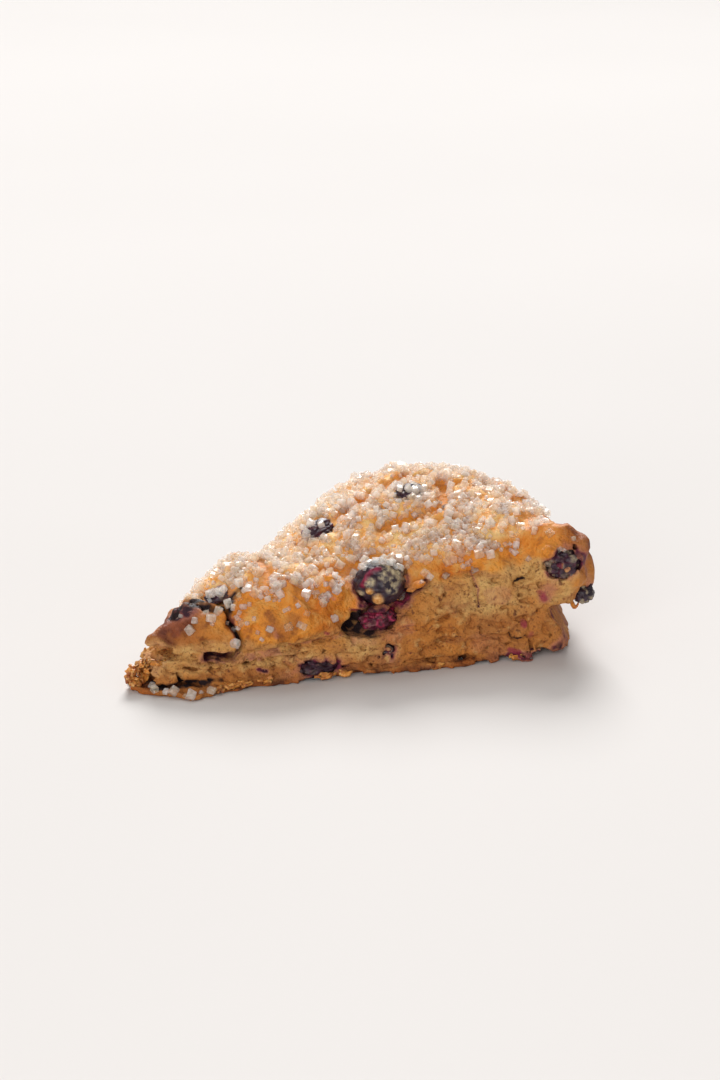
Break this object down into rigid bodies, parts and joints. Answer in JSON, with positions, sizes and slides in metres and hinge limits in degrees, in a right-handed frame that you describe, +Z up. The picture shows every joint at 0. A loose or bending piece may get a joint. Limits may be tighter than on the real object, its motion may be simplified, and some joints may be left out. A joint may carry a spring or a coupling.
{
  "type": "fruit scone wedge",
  "caption": "Triangular baked scone wedge with dark berries in its torn cut sides and coarse sugar crystals on a domed brown crust.",
  "frame": {"origin": "centre of the base box, on the surface the scone lies on", "axes": "+X from the point of the wedge to its rim, +Z up"},
  "size_m": [0.1108, 0.0844, 0.0349],
  "materials": {
    "dough": "baked dough: golden to brown crust above, porous golden crumb at the cut sides",
    "berry": "dark purple berry skin with pale bloom, magenta where burst",
    "sugar": "translucent coarse sugar crystals"
  },
  "bodies": {
    "root": {"dough": "dough", "front_berry": "berry", "torn_berry": "berry", "small_berry": "berry", "base_berry": "berry", "rim_berry": "berry", "overhang_berry": "berry", "beak_berry": "berry", "crack_berry": "berry", "ridge_berry": "berry", "top_berry": "berry", "back_tip_berry": "berry", "back_berry": "berry", "back_low_berry": "berry", "rim_side_berry": "berry", "rim_low_berry": "berry"}
  },
  "joints": []
}
